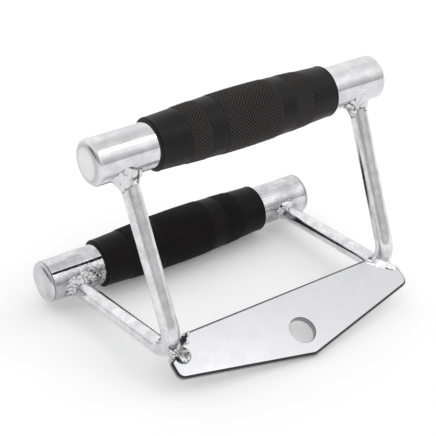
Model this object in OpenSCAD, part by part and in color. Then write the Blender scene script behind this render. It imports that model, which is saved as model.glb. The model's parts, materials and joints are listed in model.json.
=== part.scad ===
// Close-grip V row handle: two gripped tubes, two bent round rods and one drilled plate, all welded.
// Each shape is designed in the V's own frame and then laid down as the handle rests on a floor:
// on its rear grip and on the plate's lower corner, with the floor at z = 0.
// V frame: X along the handles, Y through the plate from front to rear, Z from the plate to the handles.

/* [Handles] */
// Outside diameter of a handle tube
tube_d = 25; // [22:0.5:30]
// Wall thickness of a handle tube
tube_wall = 2; // [1.5:0.25:3]
// Length of a handle over its end caps
handle_len = 190; // [185:1:240]
// Distance between the axes of the two handles
handle_spacing = 122; // [112:0.5:130]
// Height of the handle axes above the plate's top edge
handle_rise = 81.5; // [75:0.5:95]

/* [End caps] */
// Length of cap that shows beyond the tube
cap_len = 3.4; // [2.5:0.1:5]
// Edge rounding of the front handle's caps
front_cap_edge = 3; // [2:0.1:5]
// Edge rounding of the rear handle's caps
rear_cap_edge = 3.4; // [2:0.1:5]
// Depth of the spigot that plugs the tube
spigot_len = 8; // [5:1:15]

/* [Grips] */
// Length of a grip
grip_len = 116; // [100:1:120]
// Diameter of a grip at its middle
grip_mid_d = 33.7; // [32:0.1:38]
// Diameter of a grip at its ends
grip_end_d = 29.2; // [28:0.1:32]
// Edge rounding of a grip's ends
grip_edge = 1.2; // [0.5:0.1:1.4]

/* [V bars] */
// Diameter of the round rod
rod_d = 10; // [8:0.5:12]
// Distance between the two V bars, measured at their bends
bar_spacing = 148; // [140:1:150]
// Outward lean of each V bar
bar_lean = 1.8; // [0:0.1:3]
// Angle between a leg and the V's middle plane
leg_angle = 35.2; // [33:0.1:36]
// Bend radius, on the rod's axis
bend_r = 13; // [12:0.5:16]
// Height of the bend's lowest point on the rod's axis, from the plate's top edge
bend_z = -2; // [-2:0.5:1]

/* [Plate] */
// Thickness of the plate
plate_t = 4; // [3:0.5:8]
// Length of the plate over its ends
plate_len = 158.5; // [156:0.5:170]
// Length of the plate's straight top edge
plate_top_len = 123; // [110:1:126]
// Drop of each diagonal cut between the top edge and the end
plate_cut_drop = 12.5; // [10:0.5:14]
// Height of the plate from its top edge down to its lower corner, before that corner is rounded
plate_h = 39.2; // [38:0.1:50]
// Slope of the two lower edges
lower_edge_slope = 12.1; // [10:0.1:13]
// Corner rounding at the lower end of each end edge
plate_end_r = 4.5; // [2:0.5:5]
// Rounding of the plate's lower corner
plate_apex_r = 6; // [4:0.5:10]

/* [Hole] */
// Diameter of the attachment hole
hole_d = 15.2; // [10:0.1:16]
// Distance of the hole's centre below the plate's top edge
hole_drop = 24; // [20:0.5:26]
// Chamfer on both rims of the hole
hole_chamfer = 0.5; // [0.2:0.1:1]

/* [Welds] */
// Height of the collar where a rod meets a tube
collar_h = 8; // [5:0.5:12]
// Largest radius of that collar, inside the tube's skin
collar_r = 10; // [8:0.1:11]
// Radius of the beads between the V bars and the plate
bead_r = 4.2; // [3:0.1:5]
// Start of a bead along the diagonal cut, as a share of the cut
bead_start = 0.12; // [0:0.01:0.3]
// End of a bead along the diagonal cut, as a share of the cut
bead_finish = 0.88; // [0.7:0.01:1]
// Height of the root weld above the diagonal cut
root_lift = 3.5; // [2:0.1:5]

/* [Hidden] */
$fn = 96;

LEFT = -1;
RIGHT = 1;
FRONT = -1;
REAR = 1;
steel_colour = "#c8cbcf";
rod_colour = "#b9bdc2";
plate_colour = "#d9dadc";
weld_colour = "#aeb2b6";
cap_colour = "#dfe0e2";
rubber_colour = "#1d1d1f";

tube_r = tube_d / 2;
bore_r = tube_r - tube_wall;
tube_len = handle_len - 2 * cap_len;
handle_y = handle_spacing / 2;
rod_r = rod_d / 2;
vertex_z = bend_z - bend_r * (1 / sin(leg_angle) - 1);
bend_centre_z = bend_z + bend_r;
straight_start = bend_r / tan(leg_angle);
fuse_len = 0.5;
bend_swell = 0.02;
// Along a leg, from the point where its axis leaves the other leg's, to the point nearest the tube's axis
leg_to_tube = handle_y * sin(leg_angle) + (handle_rise - vertex_z) * cos(leg_angle);
leg_miss = (handle_rise - vertex_z) * sin(leg_angle) - handle_y * cos(leg_angle);
leg_to_skin = leg_to_tube - sqrt(tube_r * tube_r - leg_miss * leg_miss);
// Where the collar stops short of the tube's axis, and the half width that keeps it behind the tube
collar_sink = 4;
collar_side = sqrt(tube_r * tube_r - collar_sink * collar_sink);

// The floor touches the plate's rear lower edge and the rear grip's middle
apex_round_z = -plate_h + plate_apex_r * (1 / cos(lower_edge_slope) - 1);
reach_y = handle_y - plate_t / 2;
reach_z = handle_rise - apex_round_z;
rest_angle = atan2(reach_y, reach_z) + asin(grip_mid_d / 2 / norm([reach_y, reach_z]));
floor_shift = cos(rest_angle) * plate_t / 2 - sin(rest_angle) * apex_round_z;
back_y = sin(rest_angle) * handle_y + cos(rest_angle) * handle_rise + grip_mid_d / 2;
front_y = -sin(rest_angle) * plate_t / 2 + cos(rest_angle) * apex_round_z;

// Lays a shape of the V frame down on the floor, centred on the handle's own box
module at_rest() {
    translate([0, -(back_y + front_y) / 2, floor_shift])
        rotate([rest_angle - 90, 0, 0])
            children();
}

// Points of a corner at b, between a and c, rounded with radius r
function unit(v) = v / norm(v);
function turn(a, b, c) = acos(unit(a - b) * unit(c - b));
function corner(a, b, c, r, steps = 8) =
    let (
        half = turn(a, b, c) / 2,
        centre = b + unit(unit(a - b) + unit(c - b)) * r / sin(half),
        from = b + unit(a - b) * r / tan(half) - centre,
        to = b + unit(c - b) * r / tan(half) - centre
    )
    [for (i = [0:steps]) centre + unit(from * (steps - i) + to * i) * r];

plate_outline = let (
        top = plate_top_len / 2,
        end = plate_len / 2,
        end_low = -plate_h + end * tan(lower_edge_slope),
        right = [[top, 0], [end, -plate_cut_drop], [end, end_low], [0, -plate_h], [-end, end_low]],
        half = concat(
            [right[0]],
            corner(right[0], right[1], right[2], 1),
            corner(right[1], right[2], right[3], plate_end_r)
        )
    )
    concat(
        half,
        corner(right[2], right[3], right[4], plate_apex_r),
        [for (i = [len(half) - 1:-1:0]) [-half[i][0], half[i][1]]]
    );

// Upright extrusion of an X-Z outline, centred on the plate's middle plane
module plate_blank() {
    rotate([90, 0, 0])
        linear_extrude(plate_t, center = true)
            polygon(plate_outline);
}

module plate() {
    color(plate_colour)
        difference() {
            plate_blank();
            translate([0, 0, -hole_drop])
                rotate([90, 0, 0])
                    cylinder(d = hole_d, h = plate_t + 2, center = true);
            for (face = [FRONT, REAR])
                translate([0, face * plate_t / 2, -hole_drop])
                    rotate([face * 90, 0, 0])
                        translate([0, 0, -hole_chamfer])
                            cylinder(
                                d1 = hole_d,
                                d2 = hole_d + 4 * hole_chamfer,
                                h = 2 * hole_chamfer
                            );
        }
}

// Solid bar along one leg's axis, from one distance to another, measured from the legs' meeting point
module along_leg(side, row, from) {
    translate([side * bar_spacing / 2, 0, bend_z])
        rotate([0, side * bar_lean, 0])
            translate([0, 0, vertex_z - bend_z])
                rotate([-row * leg_angle, 0, 0])
                    translate([0, 0, from])
                        children();
}

// Each leg starts inside the bend, which is a hair thicker, so that they fuse into one rod
module leg(side, row) {
    along_leg(side, row, straight_start - fuse_len)
        cylinder(r = rod_r, h = leg_to_tube - straight_start + fuse_len);
}

module bend(side) {
    translate([side * bar_spacing / 2, 0, bend_z])
        rotate([0, side * bar_lean, 0])
            translate([0, 0, bend_r])
                rotate([0, 90, 0])
                    rotate([0, 0, -(90 - leg_angle)])
                        rotate_extrude(angle = 180 - 2 * leg_angle)
                            translate([bend_r, 0])
                                circle(r = rod_r + bend_swell);
}

module handle_core(row, radius) {
    translate([0, row * handle_y, handle_rise])
        rotate([0, 90, 0])
            cylinder(r = radius, h = tube_len, center = true);
}

module bar_solid(side) {
    difference() {
        union() {
            leg(side, FRONT);
            leg(side, REAR);
            bend(side);
        }
        handle_core(FRONT, tube_r);
        handle_core(REAR, tube_r);
    }
}

module v_bar(side) {
    color(rod_colour) bar_solid(side);
}

module handle_tube(row) {
    color(steel_colour)
        difference() {
            handle_core(row, tube_r);
            translate([0, row * handle_y, handle_rise])
                rotate([0, 90, 0])
                    cylinder(r = bore_r, h = tube_len + 2, center = true);
        }
}

// Plug with a rounded head that stands beyond the tube and a spigot inside it
module end_cap(row, side, edge) {
    color(cap_colour)
        translate([side * tube_len / 2, row * handle_y, handle_rise])
            rotate([0, side * 90, 0]) {
                cylinder(r = tube_r, h = cap_len - edge + 0.01);
                cylinder(r = tube_r - edge, h = cap_len);
                translate([0, 0, cap_len - edge])
                    rotate_extrude()
                        translate([tube_r - edge, 0])
                            intersection() {
                                circle(r = edge);
                                square(edge);
                            }
                translate([0, 0, -spigot_len])
                    cylinder(r = bore_r, h = spigot_len + 0.1);
            }
}

// Barrel radius at t, which runs from -1 to 1 along the grip
function barrel(t) = (grip_end_d + (grip_mid_d - grip_end_d) * pow(1 - t * t, 1.5)) / 2;

module grip(row) {
    half = grip_len / 2;
    side_points = [for (t = [-0.97:0.0485:0.971]) [barrel(t), t * half]];
    end_r = barrel(1) - grip_edge;
    rounding = [for (a = [90:-15:0]) [end_r + grip_edge * cos(a), half - grip_edge * (1 - sin(a))]];
    color(rubber_colour)
        translate([0, row * handle_y, handle_rise])
            rotate([0, 90, 0])
                rotate_extrude()
                    polygon(concat(
                        [[tube_r, -half]],
                        [for (p = rounding) [p[0], -p[1]]],
                        side_points,
                        [for (i = [len(rounding) - 1:-1:0]) rounding[i]],
                        [[tube_r, half]]
                    ));
}

// Cone-shaped fillet between a rod's end and its tube, cut off flush with the tube's outer side
module handle_weld(side, row) {
    height = collar_h + leg_to_tube - leg_to_skin - collar_sink;
    color(weld_colour)
        difference() {
            intersection() {
                along_leg(side, row, leg_to_skin - collar_h)
                    cylinder(r1 = rod_r + 0.5, r2 = collar_r, h = height);
                along_leg(side, row, leg_to_skin - collar_h)
                    translate([-collar_r, row < 0 ? leg_miss - collar_side : -collar_r, 0])
                        cube([2 * collar_r, collar_r + collar_side - leg_miss, height]);
            }
            handle_core(row, tube_r);
            along_leg(side, row, straight_start)
                cylinder(r = rod_r, h = leg_to_tube - straight_start);
        }
}

// Eight-sided bar from one point to another
module bead(from, to, radius) {
    way = to - from;
    translate(from)
        rotate([0, acos(way[2] / norm(way)), atan2(way[1], way[0])])
            cylinder(r = radius, h = norm(way), $fn = 8);
}

// Point on the diagonal cut, at a share of its length and a height above it
function cut_point(side, share, lift = 0) =
    let (
        run = (plate_len - plate_top_len) / 2,
        normal = unit([plate_cut_drop, run])
    )
    [
        side * (plate_top_len / 2 + run * share + normal[0] * lift),
        -plate_cut_drop * share + normal[1] * lift
    ];

// Bead along the diagonal cut, on one face of the plate
module face_weld(side, row) {
    start = cut_point(side, bead_start);
    finish = cut_point(side, bead_finish);
    bead_y = row * (plate_t / 2 + 1);
    color(weld_colour)
        difference() {
            bead([start[0], bead_y, start[1]], [finish[0], bead_y, finish[1]], bead_r);
            cube([2 * plate_len, plate_t, 2 * plate_h], center = true);
            bar_solid(side);
        }
}

// Weld in the gap between the diagonal cut and the bend, as thick as the plate
module root_weld(side) {
    color(weld_colour)
        difference() {
            rotate([90, 0, 0])
                linear_extrude(plate_t, center = true)
                    polygon([
                        cut_point(side, bead_start),
                        cut_point(side, bead_finish),
                        cut_point(side, bead_finish, root_lift),
                        cut_point(side, bead_start, root_lift)
                    ]);
            bar_solid(side);
        }
}

at_rest() plate();
at_rest() v_bar(LEFT);  // left_v_bar
at_rest() v_bar(RIGHT);  // right_v_bar
at_rest() handle_tube(FRONT);  // front_handle_tube
at_rest() handle_tube(REAR);  // rear_handle_tube
at_rest() end_cap(FRONT, LEFT, front_cap_edge);  // front_left_end_cap
at_rest() end_cap(FRONT, RIGHT, front_cap_edge);  // front_right_end_cap
at_rest() end_cap(REAR, LEFT, rear_cap_edge);  // rear_left_end_cap
at_rest() end_cap(REAR, RIGHT, rear_cap_edge);  // rear_right_end_cap
at_rest() grip(FRONT);  // front_grip
at_rest() grip(REAR);  // rear_grip
at_rest() handle_weld(LEFT, FRONT);  // front_left_handle_weld
at_rest() handle_weld(RIGHT, FRONT);  // front_right_handle_weld
at_rest() handle_weld(LEFT, REAR);  // rear_left_handle_weld
at_rest() handle_weld(RIGHT, REAR);  // rear_right_handle_weld
at_rest() face_weld(LEFT, FRONT);  // left_front_plate_weld
at_rest() face_weld(LEFT, REAR);  // left_rear_plate_weld
at_rest() root_weld(LEFT);  // left_root_weld
at_rest() face_weld(RIGHT, FRONT);  // right_front_plate_weld
at_rest() face_weld(RIGHT, REAR);  // right_rear_plate_weld
at_rest() root_weld(RIGHT);  // right_root_weld
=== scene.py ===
"""Looks of a close-grip V row handle: plated steel, uneven welds and knurled rubber grips.

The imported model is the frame. Pieces are built in the V frame, in metres: origin at the centre of the
attachment hole, X along the handles, Y through the plate from front to rear, Z towards the handles.
"""

import json
import math
from contextlib import contextmanager

import bmesh
import bpy
import numpy as np
from mathutils import Matrix, Vector, noise
from mathutils.geometry import delaunay_2d_cdt


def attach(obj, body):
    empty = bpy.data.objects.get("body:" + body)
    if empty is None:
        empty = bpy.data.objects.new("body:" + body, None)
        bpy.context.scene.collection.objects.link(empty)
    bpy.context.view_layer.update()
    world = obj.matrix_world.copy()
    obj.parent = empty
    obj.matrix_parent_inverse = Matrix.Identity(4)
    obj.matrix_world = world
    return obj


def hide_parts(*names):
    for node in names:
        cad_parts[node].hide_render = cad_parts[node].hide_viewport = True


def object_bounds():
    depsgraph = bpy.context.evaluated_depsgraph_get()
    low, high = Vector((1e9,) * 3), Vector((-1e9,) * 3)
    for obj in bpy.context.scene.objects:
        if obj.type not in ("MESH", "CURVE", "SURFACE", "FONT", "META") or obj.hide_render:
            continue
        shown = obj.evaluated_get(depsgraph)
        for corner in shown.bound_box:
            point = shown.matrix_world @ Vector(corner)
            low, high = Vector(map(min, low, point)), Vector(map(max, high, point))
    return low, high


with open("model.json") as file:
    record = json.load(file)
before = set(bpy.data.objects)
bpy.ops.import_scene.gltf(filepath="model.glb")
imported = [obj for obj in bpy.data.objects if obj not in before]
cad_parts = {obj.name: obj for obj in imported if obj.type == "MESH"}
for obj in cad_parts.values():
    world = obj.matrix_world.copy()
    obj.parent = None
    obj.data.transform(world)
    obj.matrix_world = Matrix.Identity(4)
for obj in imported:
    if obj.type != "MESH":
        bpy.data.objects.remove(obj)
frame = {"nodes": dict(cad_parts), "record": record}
cad_low, cad_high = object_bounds()
MM = 0.001
# Points closer than this are one point
SAME_POINT = 0.01 * MM

# ---------------- the V frame

hole = next(m for m in frame["record"]["mounts"] if m["name"] == "attachment_hole")
HOLE_R = hole["dims"]["r_mm"] * MM
ALONG = Vector((1, 0, 0))
REARWARD = -Vector(hole["axis"]).normalized()
UPWARD = ALONG.cross(REARWARD)
TO_ROW = Matrix.Translation(hole["pos_m"]) @ Matrix((ALONG, REARWARD, UPWARD)).transposed().to_4x4()
TO_V = TO_ROW.inverted()


def v_box(node):
    """The node's lowest and highest corners in the V frame."""
    matrix = np.array(TO_V)
    points = np.array([v.co for v in frame["nodes"][node].data.vertices])
    points = points @ matrix[:3, :3].T + matrix[:3, 3]
    return points.min(0), points.max(0)


plate_low, plate_high = v_box("plate")
PLATE_T = plate_high[1] - plate_low[1]
PLATE_TOP = plate_high[2]
tube_low, tube_high = v_box("front_handle_tube")
TUBE_R = (tube_high[1] - tube_low[1]) / 2
HANDLE_Y = -(tube_high[1] + tube_low[1]) / 2
HANDLE_Z = (tube_high[2] + tube_low[2]) / 2
TUBE_HALF = tube_high[0]
HANDLE_HALF = v_box("front_right_end_cap")[1][0]
grip_low, grip_high = v_box("front_grip")
GRIP_HALF = grip_high[0]
GRIP_MID_R = (grip_high[1] - grip_low[1]) / 2

# Design values that the boxes don't give
TUBE_WALL = 2 * MM
ROD_R = 5 * MM
LEG_ANGLE = math.radians(35.2)
BAR_LEAN = math.radians(1.8)
BEND_R = 13 * MM
GRIP_END_R = 14.6 * MM
BAR_X = v_box("right_v_bar")[0][0] + ROD_R / math.cos(BAR_LEAN)
BEND_Z = v_box("right_v_bar")[0][2] + ROD_R
SIDES = {"left": -1, "right": 1}
ROWS = {"front": -1, "rear": 1}

# ---------------- mesh helpers


@contextmanager
def editing(mesh):
    """The mesh as a bmesh, which is written back at the end."""
    work = bmesh.new()
    work.from_mesh(mesh)
    yield work
    work.to_mesh(mesh)
    work.free()


def paint(mesh, name, values, domain="POINT"):
    """Gives each point or face a number, which the materials read by its name."""
    mesh.attributes.new(name, "FLOAT", domain).data.foreach_set("value", values)


def finish_piece(mesh, name, material, nodes, smooth=True):
    """Turns a mesh in the V frame into a piece of the row that stands for its CAD nodes."""
    mesh.transform(TO_ROW)
    with editing(mesh) as work:
        bmesh.ops.recalc_face_normals(work, faces=work.faces)
    if smooth:
        mesh.shade_smooth()
    mesh.materials.append(material)
    piece = bpy.data.objects.new(name, mesh)
    bpy.context.scene.collection.objects.link(piece)
    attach(piece, "root")
    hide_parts(*nodes)
    return piece


def band_faces(rings, around, start=0, closed=False):
    """Quads between rings of vertices, of which the first vertex has the number start."""
    index = start + np.arange(rings * around).reshape(rings, around)
    if closed:
        index = np.vstack([index, index[:1]])
    here, ahead = index[:-1], index[1:]
    return np.stack([here, np.roll(here, -1, 1), np.roll(ahead, -1, 1), ahead], -1).reshape(-1, 4).tolist()


def tube_mesh(name, points, u, v, closed=False, flat_rows=()):
    """Skin through rings of points (rings x around x 3). u runs over the rings and v round each ring.

    closed joins the last ring to the first; otherwise both ends are closed by a fan. flat_rows are the
    rings whose faces are shaded flat.
    """
    rings, around = points.shape[:2]
    last = rings if closed else rings - 1
    faces = band_faces(rings, around, closed=closed)
    vertices = points.reshape(-1, 3)
    if not closed:
        count = len(vertices)
        first_ring, last_ring = range(around), range(count - around, count)
        faces += [[count, first_ring[i - 1], first_ring[i]] for i in range(around)]
        faces += [[count + 1, last_ring[i], last_ring[i - 1]] for i in range(around)]
        vertices = np.vstack([vertices, points[0].mean(0), points[-1].mean(0)])
    mesh = bpy.data.meshes.new(name)
    mesh.from_pydata(vertices.tolist(), [], faces)
    layer = mesh.uv_layers.new(name="UVMap")
    u = np.append(u, 2 * u[-1] - u[-2])
    uv = np.zeros((last, around, 4, 2))
    uv[:, :, :2, 0] = u[:last, None, None]
    uv[:, :, 2:, 0] = u[1:last + 1, None, None]
    uv[:, :, (0, 3), 1] = v[:-1, None]
    uv[:, :, (1, 2), 1] = v[1:, None]
    every_loop = np.zeros(2 * len(mesh.loops))
    every_loop[: uv.size] = uv.reshape(-1)
    layer.data.foreach_set("uv", every_loop)
    if len(flat_rows):
        smooth = np.ones(len(mesh.polygons), bool)
        for row in flat_rows:
            smooth[row * around:(row + 1) * around] = False
        mesh.polygons.foreach_set("use_smooth", smooth)
    return mesh


def ring_angles(around):
    return np.linspace(0, 2 * math.pi, around, endpoint=False)


def ring_about(centre, x, radii, angles):
    """Points round a line along X, at a distance x from the centre."""
    across = centre[1] + radii * np.cos(angles)
    up = centre[2] + radii * np.sin(angles)
    return np.stack([np.full(len(angles), centre[0] + x), across, up], 1)


def quadratic(t, start, bend, end):
    """Point at t, from 0 to 1, on the curve from start to end that leans towards bend."""
    return (1 - t) ** 2 * start + 2 * t * (1 - t) * bend + t**2 * end


def clamp(value):
    return min(1.0, max(0.0, value))


def bell(distance, width):
    """1 at no distance, falling smoothly to 0 at a few widths."""
    return math.exp(-((distance / width) ** 2))


def arc_length(profile):
    steps = np.linalg.norm(np.diff(np.array(profile), axis=0), axis=1)
    return np.concatenate([[0], np.cumsum(steps)])


def wave(point, scale, seed=0):
    """Smooth noise from about -1 to 1, with features of the given size."""
    return noise.noise(Vector(point) / scale + Vector((seed * 7.3, seed * 3.1, seed * 5.7)))


# ---------------- materials


class Nodes:
    """Short calls for building the node tree of a material or a world."""

    def __init__(self, owner, output, surface):
        owner.use_nodes = True
        self.owner = owner
        self.tree = owner.node_tree
        self.tree.nodes.clear()
        self.surface = self.add(surface)
        self.add(output, {"Surface": self.surface.outputs[0]})

    def add(self, kind, inputs=None, **settings):
        node = self.tree.nodes.new("ShaderNode" + kind)
        for key, value in settings.items():
            setattr(node, key, value)
        for key, value in (inputs or {}).items():
            self.feed(node.inputs[key], value)
        return node

    def feed(self, socket, value):
        """Gives a socket a number, a vector or an RGB triple, or links another socket to it."""
        if isinstance(value, bpy.types.NodeSocket):
            self.tree.links.new(value, socket)
        else:
            socket.default_value = (*value, 1) if socket.type == "RGBA" else value

    def place(self, kind, scale):
        """Texture coordinates ('UV' or 'Object') with a scale for each axis."""
        source = self.add("TexCoord").outputs[kind]
        return self.add("Mapping", {"Vector": source, "Scale": scale}).outputs[0]

    def noise(self, vector, scale, detail, roughness, distortion=0.0):
        inputs = {"Vector": vector, "Scale": scale, "Detail": detail}
        inputs |= {"Roughness": roughness, "Distortion": distortion}
        return self.add("TexNoise", inputs).outputs["Fac"]

    def spread(self, value, low, high, to_low=0.0, to_high=1.0):
        """Takes low to high smoothly to to_low to to_high, and holds the ends."""
        inputs = {"Value": value, "From Min": low, "From Max": high, "To Min": to_low, "To Max": to_high}
        return self.add("MapRange", inputs, interpolation_type="SMOOTHSTEP").outputs["Result"]

    def math(self, operation, first, second):
        return self.add("Math", {0: first, 1: second}, operation=operation).outputs[0]

    def dot(self, vector, way):
        return self.add("VectorMath", {0: vector, 1: way}, operation="DOT_PRODUCT").outputs["Value"]

    def blend(self, factor, first, second):
        """Mix of two colours."""
        return self.add("Mix", {0: factor, 6: first, 7: second}, data_type="RGBA").outputs[2]

    def ramp(self, value, stops):
        """Greys by the sine of a height: stops are (degrees, grey)."""
        node = self.add("ValToRGB", {0: value})
        elements = node.color_ramp.elements
        while len(elements) < len(stops):
            elements.new(0.5)
        for element, (degrees, grey) in zip(elements, stops):
            element.position = math.sin(math.radians(degrees))
            element.color = (grey, grey, grey, 1)
        return node.outputs[0]

    def attribute(self, name):
        return self.add("Attribute", attribute_name=name).outputs["Fac"]

    def bump(self, height, strength, distance, below=None):
        inputs = {"Height": height, "Strength": strength, "Distance": distance}
        if below:
            inputs["Normal"] = below
        return self.add("Bump", inputs).outputs[0]

    def set(self, **sockets):
        """Feeds sockets of the surface shader: base_color, metallic, roughness and so on."""
        for key, value in sockets.items():
            name = key.replace("_", " ").title().replace("Ior", "IOR")
            self.feed(self.surface.inputs[name], value)


def material_nodes(name):
    return Nodes(bpy.data.materials.new(name), "OutputMaterial", "BsdfPrincipled")


CLOUD_SIZE = 9 * MM
GRAIN_SIZE = 0.6 * MM
SPECKLE_SIZE = 1.5 * MM
SCORCH_BLACK = (0.03, 0.03, 0.03)
# Grey of the duller sheared edges, and of the painted shade on edges, rims and seams
WEAR_AND_SHADE_GREY = (0.055, 0.055, 0.055)
HOLLOW_SHADE_BLACK = (0.035, 0.035, 0.035)
WELD_GRAIN_SIZE = 0.8 * MM
PIT_SIZE = 1.7 * MM
RUBBER_CLOUD_SIZE = 14 * MM
RUBBER_GRAIN_SIZE = 0.35 * MM
RUBBER_BLACK = ((0.0048, 0.0038, 0.0041), (0.0078, 0.0064, 0.0068))
RUBBER_DUST_AND_HIGHLIGHT = (0.085, 0.072, 0.070)


def steel_grey(value):
    """A grey a touch cooler than neutral."""
    return (value, value, value + 0.01)


def plated_steel(name, bright, dull, rough, streaks=0.0, streak=(4 * MM, 0.45 * MM), relief=1.0):
    """Bright plating over steel: cloudy mottling, drawn streaks along U and fine grain.

    bright and dull are greys, streaks the share of the streaks in the mottling, and streak their length
    and width. One attribute darkens and roughens the plate's sheared edges, which are duller steel, with
    painted shade on them and on the hole's wall; it also puts a painted dark reflection on the caps'
    rounded rims and darkens the seams between caps and tubes. 'scorch' marks the speckled steel beside a
    weld.
    """
    n = material_nodes(name)
    solid = n.place("Object", (1, 1, 1))
    cloud = n.spread(n.noise(solid, 1 / CLOUD_SIZE, detail=5, roughness=0.6), low=0.30, high=0.72)
    grain = n.noise(solid, 1 / GRAIN_SIZE, detail=4, roughness=0.75)
    drawn = n.place("UV", (1 / streak[0], 1 / streak[1], 1))
    line = n.spread(n.noise(drawn, 1.0, detail=4, roughness=0.7), low=0.36, high=0.66)
    mix = n.math("ADD", n.math("MULTIPLY", cloud, 1 - streaks), n.math("MULTIPLY", line, streaks))
    mix = n.math("ADD", mix, n.math("MULTIPLY", n.math("SUBTRACT", grain, 0.5), 0.9 * streaks))
    colour = n.blend(n.spread(mix, low=0.05, high=0.95), steel_grey(dull), steel_grey(bright))
    speckle = n.noise(solid, 1 / SPECKLE_SIZE, detail=5, roughness=0.7, distortion=0.6)
    scorch = n.math("MULTIPLY", n.attribute("scorch"), n.spread(speckle, low=0.46, high=0.53))
    colour = n.blend(scorch, colour, SCORCH_BLACK)
    # Painted shade on the plate's edges and hole wall and on the caps' rims, over the duller sheared steel
    wear_and_painted_shade = n.attribute("wear_and_painted_shade")
    colour = n.blend(wear_and_painted_shade, colour, WEAR_AND_SHADE_GREY)
    roughness = n.spread(mix, low=0.0, high=1.0, to_low=rough + 0.05, to_high=rough - 0.02)
    roughness = n.math("ADD", roughness, n.math("MULTIPLY", n.math("MAXIMUM", scorch, wear_and_painted_shade), 0.15))
    fine = n.bump(grain, strength=0.15 * relief, distance=0.01 * MM)
    lines = n.bump(line, strength=(0.1 + 0.4 * streaks) * relief, distance=0.02 * MM, below=fine)
    normal = n.bump(scorch, strength=0.4, distance=0.10 * MM, below=lines)
    n.set(base_color=colour, metallic=1.0, roughness=roughness, normal=normal)
    return n.owner


def weld_metal(name, bright, rough):
    """Plating over weld metal: shiny lumps, and painted shade in the creases, pits and edges where the
    'hollow' attribute is high.
    """
    n = material_nodes(name)
    solid = n.place("Object", (1, 1, 1))
    hollow = n.attribute("hollow")
    grain = n.noise(solid, 1 / WELD_GRAIN_SIZE, detail=5, roughness=0.7)
    pits = n.noise(solid, 1 / PIT_SIZE, detail=4, roughness=0.6, distortion=0.4)
    pits = n.math("MULTIPLY", n.spread(pits, low=0.60, high=0.70), 0.35)
    # Painted shade from the 'hollow' attribute, and random dark pits
    shade = n.math("MAXIMUM", n.spread(hollow, low=0.35, high=0.95), pits)
    colour = n.blend(shade, steel_grey(bright), HOLLOW_SHADE_BLACK)
    roughness = n.spread(shade, low=0.0, high=1.0, to_low=rough, to_high=rough + 0.25)
    normal = n.bump(grain, strength=0.6, distance=0.15 * MM)
    n.set(base_color=colour, metallic=1.0, roughness=roughness, normal=normal)
    return n.owner


def grip_rubber(name, sheen):
    """Black moulded rubber: matt, with a soft sheen on the plain bands.

    The 'ridge' attribute marks the tips of the knurl, which are lightened: partly grey dust, partly a
    painted highlight.
    """
    n = material_nodes(name)
    solid = n.place("Object", (1, 1, 1))
    cloud = n.noise(solid, 1 / RUBBER_CLOUD_SIZE, detail=4, roughness=0.6)
    grain = n.noise(solid, 1 / RUBBER_GRAIN_SIZE, detail=3, roughness=0.7)
    ridge = n.attribute("ridge")
    black = n.blend(n.spread(cloud, low=0.35, high=0.7), *RUBBER_BLACK)
    # Knurl tips lightened by grey dust and a painted highlight
    n.set(
        base_color=n.blend(n.spread(ridge, low=0.45, high=1.0), black, RUBBER_DUST_AND_HIGHLIGHT),
        roughness=n.spread(ridge, low=0.0, high=1.0, to_low=0.46, to_high=0.60),
        specular_ior_level=sheen,
        normal=n.bump(grain, strength=0.35, distance=0.05 * MM),
    )
    return n.owner


PLATE_STREAK = (18 * MM, 0.6 * MM)
TUBE_STREAK = (14 * MM, 0.9 * MM)
PLATE_STEEL = plated_steel("plate_steel", 0.64, 0.60, 0.26, streaks=0.08, streak=PLATE_STREAK, relief=0.15)
ROD_STEEL = plated_steel("rod_steel", 0.83, 0.59, 0.15, streaks=0.4, relief=0.8)
TUBE_STEEL = {
    "front": plated_steel("front_tube_steel", 0.75, 0.60, 0.05, 0.25, TUBE_STREAK, relief=0.6),
    "rear": plated_steel("rear_tube_steel", 0.75, 0.48, 0.06, 0.35, TUBE_STREAK, relief=0.8),
}
# The rear caps' steel is a darker copy of the front caps' steel: painted shade
CAP_STEEL = {
    "front": plated_steel("front_cap_steel", 0.74, 0.70, 0.16),
    "rear": plated_steel("rear_cap_steel_painted_shade", 0.66, 0.54, 0.18),
}
WELD_STEEL = weld_metal("weld_steel", 0.70, rough=0.14)
# A lighter copy of the weld steel for the right front plate weld: painted highlight
WELD_STEEL_PAINTED_HIGHLIGHT = weld_metal("weld_steel_painted_highlight", 0.87, rough=0.18)
# The rear grip's rubber is a copy with less sheen, so that it looks darker: painted shade
RUBBER = {"front": grip_rubber("front_rubber", sheen=0.22), "rear": grip_rubber("rear_rubber", sheen=0.12)}

# ---------------- plate

PLATE_EDGE = 1.35 * MM
PLATE_EDGE_RINGS = 7
HOLE_EDGE = 0.25 * MM
HOLE_AROUND = 96
# The outline is at least this far from the hole's rim
HOLE_CLEAR = 2 * MM
# Darkening of the flat edges and the hole's wall, duller sheared steel with painted shade on it, and its
# ramp over the rounding, by how much the normal lies along the thickness
EDGE_WEAR_AND_SHADE = 0.5
EDGE_LEAN = 0.05
WEAR_AND_SHADE_STARTS = 0.998
WEAR_AND_SHADE_RAMP = 0.05
FLAT_LEAN = 0.9999


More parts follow.
